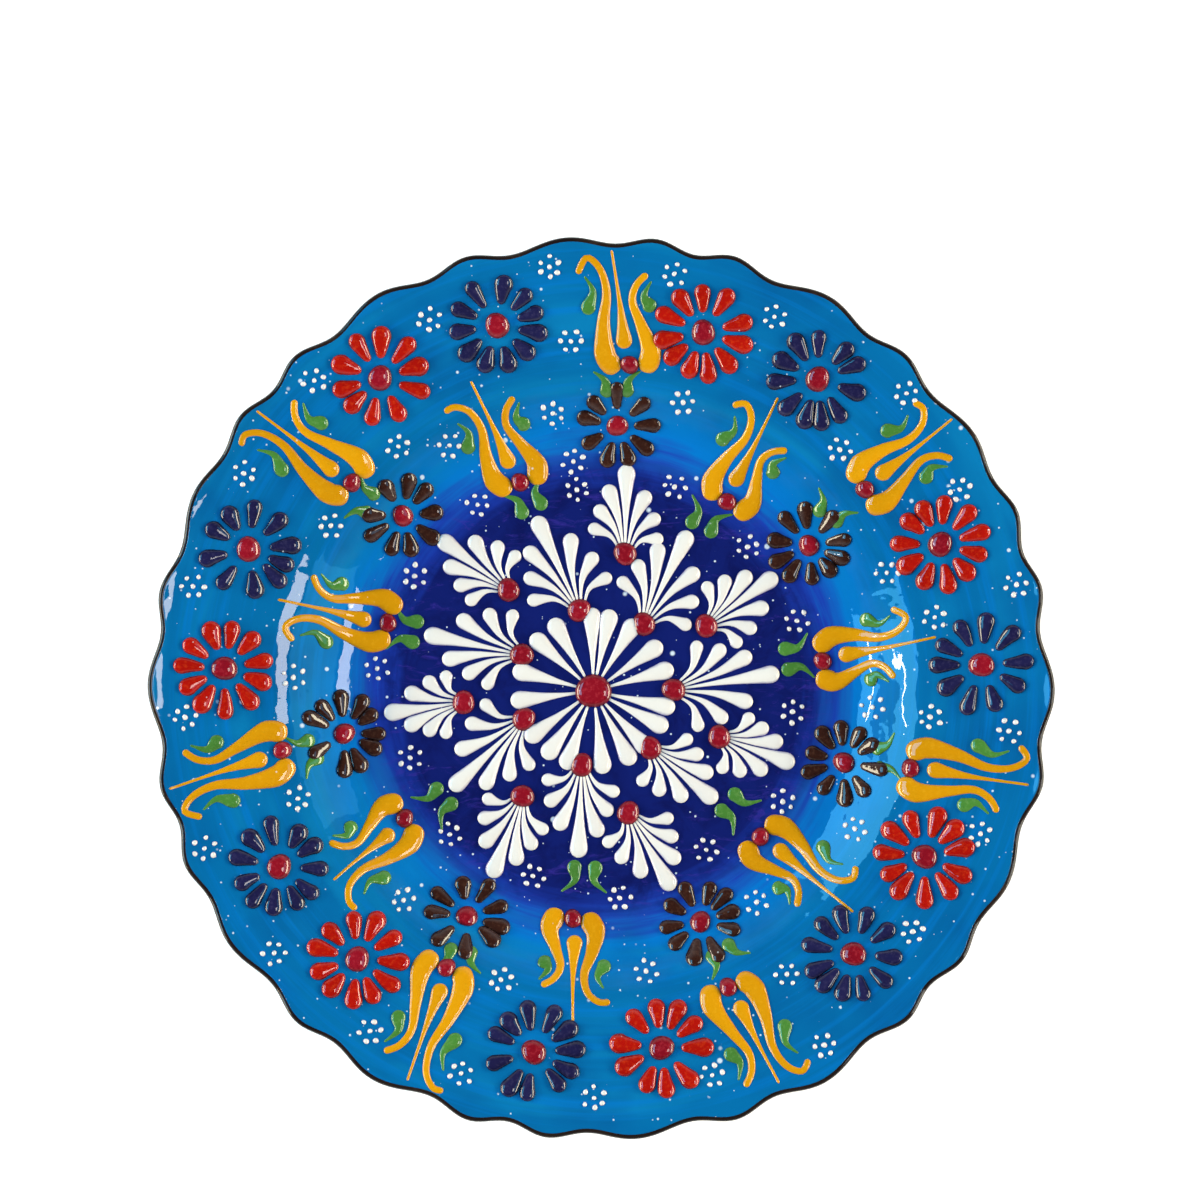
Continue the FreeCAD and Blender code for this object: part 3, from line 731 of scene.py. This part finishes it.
# Enamels: (full colour, colour where thin, colour and strength of the specks, how much the tone changes from
# dab to dab, crown where the colour starts and where it is full).
ENAMELS = {
    "bead_enamel": ((0.30, 0.006, 0.018), (0.07, 0.002, 0.010), (0.55, 0.04, 0.06), 0.55, 0.6, 0.2, 0.75),
    "red_enamel": ((0.48, 0.007, 0.003), (0.12, 0.003, 0.005), (0.72, 0.06, 0.01), 0.5, 0.5, 0.25, 0.75),
    "navy_enamel": ((0.016, 0.015, 0.075), (0.003, 0.004, 0.028), (0.06, 0.05, 0.13), 0.5, 0.6, 0.45, 0.95),
    "brown_enamel": ((0.040, 0.012, 0.008), (0.008, 0.003, 0.004), (0.12, 0.05, 0.03), 0.5, 0.5, 0.4, 0.9),
    "yellow_enamel": ((0.79, 0.335, 0.003), (0.52, 0.20, 0.01), (0.90, 0.46, 0.02), 0.3, 0.4, 0.15, 0.7),
    "green_enamel": ((0.075, 0.245, 0.040), (0.022, 0.12, 0.05), (0.20, 0.38, 0.12), 0.4, 0.5, 0.2, 0.6),
    "white_enamel": ((0.88, 0.82, 0.78), (0.28, 0.26, 0.46), (0.95, 0.92, 0.86), 0.2, 0.15, 0.25, 0.70),
}
SHADED = (0.6, 0.55, 0.6)
DUST = (0.85, 0.85, 0.88)


def enamel_material(name):
    """Glossy enamel, thinner and darker along its edge, with fine mottling; each dab has its own tone."""
    full_color, thin_color, speck_color, specks, tone_change, thin_end, full_start = ENAMELS[name]
    g = Graph(name)
    cloud = g.math("MULTIPLY", g.math("SUBTRACT", g.noise(g.place, 260.0, 3.0), 0.5), 0.5)
    depth = g.span(g.math("ADD", g.attribute("crown"), cloud), thin_end, full_start)
    body = g.mix(depth, thin_color, full_color)
    toned = g.math("MULTIPLY", g.attribute("tone"), tone_change)
    body = g.mix(toned, body, g.mix(1.0, body, SHADED, "MULTIPLY"))
    grain = g.noise(g.place, 900.0, 4.0, 0.65)
    body = g.mix(g.span(grain, 0.5, 0.72, 0.0, specks), body, speck_color)
    body = g.mix(g.flecks(g.place, 520.0, 0.10, 0.93, 0.6), body, DUST)
    return g.finish(body, 0.3, g.bump(g.noise(g.place, 500.0, 2.0), 0.15, 0.0004))


OXIDE = (0.010, 0.006, 0.006)
THIN_OXIDE = (0.02, 0.012, 0.010)
WORN_OXIDE = (0.06, 0.04, 0.03)


def rim_line_material():
    """Near-black oxide line, browner and duller where it is worn."""
    g = Graph("rim_oxide_line")
    worn = g.noise(g.place, 90.0, 4.0, 0.6)
    color = g.ramp(worn, ((0.3, OXIDE), (0.62, THIN_OXIDE), (0.8, WORN_OXIDE)))
    return g.finish(color, g.span(worn, 0.3, 0.8, 0.25, 0.5), None, 0.8)


CLAY = (0.40, 0.34, 0.27)
PALE_CLAY = (0.52, 0.46, 0.37)
BARE_CLAY = (0.42, 0.28, 0.20)
PINHOLE = (0.25, 0.17, 0.11)
OVERSPRAY = (0.01, 0.10, 0.26)


def underside_material():
    """Pale clay with a soft shine, pinholes and blue overspray near the rim; the foot ring is bare."""
    g = Graph("glazed_underside")
    x, y, z = g.split(g.place)
    radius = g.vector("LENGTH", g.join(x, y, 0.0))
    mottled = g.noise(g.place, 60.0, 5.0, 0.6)
    pale = g.ramp(mottled, ((0.3, CLAY), (0.7, PALE_CLAY)))
    edge = g.math("ADD", radius, g.math("MULTIPLY", g.noise(g.place, 45.0, 4.0), 0.02))
    pale = g.mix(g.span(edge, 0.118, 0.132, 0.0, 0.9), pale, OVERSPRAY)
    distance = g.cells(g.place, 330.0)[0]
    pit = g.math("LESS_THAN", distance, 0.08)
    pale = g.mix(g.math("MULTIPLY", pit, 0.5), pale, PINHOLE)
    bare = g.span(z, 0.0008, 0.0016, 1.0, 0.0)
    color = g.mix(bare, pale, BARE_CLAY)
    rough = g.span(bare, 0.0, 1.0, 0.25, 0.85)
    return g.finish(color, rough, g.bump(g.noise(g.place, 140.0, 3.0), 0.2, 0.0008), 0.0)


# ---- pieces ----

def scallop_share(radius):
    return ease((radius - FLAT_RADIUS) / (RIM_RADIUS - FLAT_RADIUS))


def above_face(lift):
    """Height of a surface that follows the clay's upper face, lifted by that much."""
    return lambda radius: face_height(radius) + lift


def lip_sections(first, last, steps, lift):
    """Section points round the lip's upper edge, between two angles from the top, lifted off the clay."""
    points = []
    for k in range(steps + 1):
        turn = math.radians(first + (last - first) * k / steps)
        radius = RIM_RADIUS - LIP_ROUNDING + (LIP_ROUNDING + lift) * math.sin(turn)
        down = LIP_ROUNDING - (LIP_ROUNDING + lift) * math.cos(turn)
        points.append((radius, above_face(-down), 1))
    return points


def body_piece():
    """The clay body: face under the coats, rounded rim, underside with its foot ring."""
    section = [(0, face_height, 0)]
    for radius in list(range(CLAY_RING, 120, CLAY_RING)) + [122]:
        section.append((radius, above_face(-CLAY_SINK), scallop_share(radius)))
    section += lip_sections(0, 90, LIP_STEPS, -CLAY_SINK)
    for k in range(1, LIP_STEPS + 1):
        turn = math.pi / 2 * k / LIP_STEPS
        radius = RIM_RADIUS - LIP_ROUNDING + (LIP_ROUNDING - CLAY_SINK) * math.cos(turn)
        down = EDGE_THICKNESS - LIP_ROUNDING * (1 - math.sin(turn))
        section.append((radius, above_face(-down), 1))
    for radius, height in UNDERSIDE_WALL + FOOT_RING + RECESS:
        section.append((radius, height, scallop_share(radius)))
    piece = lathe("clay_body", section, underside_material(), False)
    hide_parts("plate_body")


def coat_piece():
    """The blue coat as one closed thin sheet over well, wall and flange, up to the rim line."""
    turn = LINE_START + 6
    section = [(0, above_face(COAT_THICKNESS), 0)]
    for i in range(1, int(RIM_RADIUS / COAT_RING)):
        section.append((COAT_RING * i, above_face(COAT_THICKNESS), scallop_share(COAT_RING * i)))
    section += lip_sections(0, turn, 2, COAT_THICKNESS)
    section += lip_sections(turn, 0, 1, COAT_GAP)
    for radius in range(120, 0, -COAT_UNDERSIDE_RING):
        section.append((radius, above_face(COAT_GAP), scallop_share(radius)))
    section.append((0, above_face(COAT_GAP), 0))
    piece = lathe("blue_coat", section, coat_material(), False)
    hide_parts("turquoise_coat", "cobalt_coat")


def rim_line_piece():
    """Dark line over the rim's edge, a thin skin on the rounded lip."""
    section = lip_sections(LINE_START, LINE_START + 8, 1, COAT_THICKNESS - COAT_GAP)
    section += lip_sections(LINE_START + 14, 105, 8, COAT_THICKNESS + 0.08)
    section += lip_sections(115, 100, 1, 0.1)
    section += lip_sections(90, LINE_START, 4, 0.0)
    piece = lathe("rim_line_skin", section, rim_line_material(), True)
    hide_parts("rim_line")


def bead_group(name, node, beads, rng, material):
    """Beads given as (centre, radius, rise)."""
    dabs = Dabs()
    for centre, radius, rise in beads:
        dabs.bead(centre, radius, rise, rng.random(), rng)
    dabs.finish(name, node, "bead_enamel", material)


def bead_pieces(rng, material):
    middle = Dabs()
    middle.bead(MEDALLION_CENTRE, MEDALLION_BEAD, CENTRE_BEAD_RISE, 0.4, rng, 40, 9)
    middle.finish("medallion_middle", "medallion_centre_bead", "bead_enamel", material)
    sprays = [(polar(spray[0], spray[1], MEDALLION_CENTRE), SPRAY_BEAD, BEAD_RISE)
              for spray in INNER_PALMETTES + OUTER_PALMETTES]
    bead_group("medallion_bead_group", "medallion_beads", sprays, rng, material)
    feet = [(polar(tulip[0], tulip[1]), TULIP_BEAD, SMALL_BEAD_RISE)
            for tulip in OUTER_TULIPS + INNER_TULIPS]
    bead_group("tulip_bead_group", "tulip_beads", feet, rng, material)
    eyes = [(polar(flower[0], flower[1]), FLOWER_BEAD, BEAD_RISE)
            for flower in RED_FLOWERS + NAVY_FLOWERS]
    eyes += [(polar(flower[0], flower[1]), BROWN_FLOWER_BEAD, SMALL_BEAD_RISE)
             for flower in BROWN_FLOWERS]
    bead_group("flower_eyes", "flower_centre_beads", eyes, rng, material)


def flower_pieces(name, flowers, petal_size, shapes, rng, material):
    for number, (angle, radius, angles) in enumerate(flowers, 1):
        dabs = Dabs()
        for petal in flower_petals(polar(angle, radius), angles, *petal_size, shapes):
            dabs.stroke(petal, PETAL_RISE, rng.random())
        node = name + "_flower_" + str(number)
        dabs.finish(node + "_petals", node, name + "_enamel", material)


def tulip_pieces(name, tulips, rng, material):
    for number, (angle, radius, axis, middle, left, hook, right) in enumerate(tulips, 1):
        dabs = Dabs()
        for stroke in tulip_strokes(polar(angle, radius), axis, middle, left, hook, right):
            dabs.stroke(stroke, TULIP_RISE, rng.random())
        node = name + "_tulip_" + str(number)
        dabs.finish(node + "_strokes", node, "yellow_enamel", material)


def palmette_pieces(name, palmettes, rng, material):
    for number, (angle, radius, axis, length) in enumerate(palmettes, 1):
        dabs = Dabs()
        for stroke in palmette_strokes(polar(angle, radius, MEDALLION_CENTRE), axis, length):
            dabs.stroke(stroke, SPRAY_RISE, rng.random())
        node = name + "_palmette_" + str(number)
        dabs.finish(node + "_strokes", node, "white_enamel", material)


def ray_piece(rng, material):
    dabs = Dabs()
    for angle in CENTRE_RAYS:
        dabs.stroke(centre_ray(angle), SPRAY_RISE, rng.random())
    dabs.finish("medallion_ray_strokes", "medallion_rays", "white_enamel", material)


def leaf_piece(rng, material):
    dabs = Dabs()
    for samples in all_leaves():
        dabs.stroke(samples, LEAF_RISE, rng.random())
    dabs.finish("leaf_strokes", "leaves", "green_enamel", material)


def white_dot_piece(shapes, rng, material):
    dabs = Dabs()
    for angle, radius in DOT_CLUSTERS:
        for spot in cluster_dots(angle, radius, shapes):
            dabs.bead(spot, WHITE_DOT * rng.uniform(0.85, 1.15), DOT_RISE, rng.random(), rng, 12, 4, 0.08)
    dabs.finish("white_dot_clusters", "white_dots", "white_enamel", material)


def plate():
    """Every piece. One row of random draws makes the shapes that the CAD model has too, one the rest."""
    shapes = random.Random(7)
    rng = random.Random(3)
    enamels = {name: enamel_material(name) for name in ENAMELS}
    yellows = enamels["yellow_enamel"]
    whites = enamels["white_enamel"]
    body_piece()
    coat_piece()
    rim_line_piece()
    bead_pieces(rng, enamels["bead_enamel"])
    flower_pieces("red", RED_FLOWERS, RED_PETAL, shapes, rng, enamels["red_enamel"])
    flower_pieces("navy", NAVY_FLOWERS, NAVY_PETAL, shapes, rng, enamels["navy_enamel"])
    flower_pieces("brown", BROWN_FLOWERS, BROWN_PETAL, shapes, rng, enamels["brown_enamel"])
    tulip_pieces("outer", OUTER_TULIPS, rng, yellows)
    tulip_pieces("inner", INNER_TULIPS, rng, yellows)
    ray_piece(rng, whites)
    palmette_pieces("inner", INNER_PALMETTES, rng, whites)
    palmette_pieces("outer", OUTER_PALMETTES, rng, whites)
    leaf_piece(rng, enamels["green_enamel"])
    white_dot_piece(shapes, rng, whites)


# ---- floor, lights and camera ----

FLOOR_HALF_WIDTH = 1.35
FLOOR_GLOW = 0.36
FLOOR_COLOR = (0.92, 0.92, 0.92)


def add_floor():
    """Pale square floor that glows a little, so that it stays white."""
    g = Graph("pale_floor")
    g.finish(FLOOR_COLOR, 0.8, None, 0.0)
    g.shader.inputs["Specular IOR Level"].default_value = 0.0
    g.shader.inputs["Emission Color"].default_value = (1.0, 1.0, 1.0, 1.0)
    g.shader.inputs["Emission Strength"].default_value = FLOOR_GLOW
    half = FLOOR_HALF_WIDTH
    corners = [(-half, -half, 0), (half, -half, 0), (half, half, 0), (-half, half, 0)]
    mesh = bpy.data.meshes.new("floor")
    mesh.from_pydata(corners, [], [(0, 1, 2, 3)])
    floor = bpy.data.objects.new("floor", mesh)
    bpy.context.scene.collection.objects.link(floor)
    mesh.materials.append(g.material)


WHITE_LIGHT = (1.0, 0.97, 0.93)
SKY_LIGHT = (0.10, 0.60, 1.0)
WARM_LIGHT = (1.0, 0.90, 0.66)
PANEL_DISTANCE = 1.3
PANEL_AIM_HEIGHT = 0.02

# Softboxes: (name, tilt towards +X, shift along Y, size along Y, size across it, power, colour).
# A wall of the well mirrors the panels of the other side; the low fills at both sides light the colours.
PANELS = (("band", 35, -0.13, 0.40, 0.20, 2.5, WHITE_LIGHT),
          ("haze", 48, 0.0, 1.00, 0.26, 1.6, SKY_LIGHT),
          ("window", -46, 0.26, 1.10, 0.36, 8.5, SKY_LIGHT),
          ("slit", -50, 0.0, 0.30, 0.024, 0.8, WHITE_LIGHT),
          ("fill_left", -70, 0.0, 1.4, 0.30, 23.0, WARM_LIGHT),
          ("fill_right", 70, 0.0, 1.4, 0.30, 23.0, WARM_LIGHT))


def add_panel(name, tilt, shift, size_along, size_across, power, color):
    """A softbox tilt degrees from straight up towards +X, facing the plate."""
    turn = math.radians(tilt)
    light = bpy.data.lights.new(name, "AREA")
    light.shape = "RECTANGLE"
    light.size = size_along
    light.size_y = size_across
    light.energy = power
    light.color = color
    panel = bpy.data.objects.new(name, light)
    panel.location = (PANEL_DISTANCE * math.sin(turn), shift, PANEL_DISTANCE * math.cos(turn))
    facing = Vector((0.0, shift, PANEL_AIM_HEIGHT)) - panel.location
    panel.rotation_euler = facing.to_track_quat("-Z", "Y").to_euler()
    bpy.context.scene.collection.objects.link(panel)


# The sky is bright up to the first height of its direction and nearly dark from the second one up.
SKY_HEIGHTS = (0.15, 0.6)
SKY_STRENGTHS = (0.9, 0.03)


def add_world():
    world = bpy.data.worlds.new("studio")
    world.use_nodes = True
    nodes = world.node_tree.nodes
    links = world.node_tree.links
    place_node = nodes.new("ShaderNodeTexCoord")
    split_node = nodes.new("ShaderNodeSeparateXYZ")
    ramp_node = nodes.new("ShaderNodeMapRange")
    links.new(place_node.outputs["Generated"], split_node.inputs[0])
    links.new(split_node.outputs[2], ramp_node.inputs[0])
    for socket, number in zip(ramp_node.inputs[1:5], SKY_HEIGHTS + SKY_STRENGTHS):
        socket.default_value = number
    nodes["Background"].inputs["Color"].default_value = (1, 1, 1, 1)
    links.new(ramp_node.outputs[0], nodes["Background"].inputs["Strength"])
    bpy.context.scene.world = world


FRAME_WIDTH = 333.4
SENSOR_WIDTH = 36.0
LENS = 240.0
CAMERA_SHIFT = (-0.001, 0.0735)
CLIP_END = 10.0


def add_camera():
    """Straight above the plate; the plate sits below the middle of the square frame."""
    data = bpy.data.cameras.new("camera")
    data.lens = LENS
    data.sensor_width = SENSOR_WIDTH
    data.shift_x, data.shift_y = CAMERA_SHIFT
    data.clip_end = CLIP_END
    camera = bpy.data.objects.new("camera", data)
    camera.location = (0.0, 0.0, face_height(RIM_RADIUS) * MM + FRAME_WIDTH * MM * LENS / SENSOR_WIDTH)
    bpy.context.scene.collection.objects.link(camera)
    bpy.context.scene.camera = camera


add_camera()
for panel_row in PANELS:
    add_panel(*panel_row)
add_world()
add_floor()
plate()
bpy.context.scene.view_settings.view_transform = "Standard"
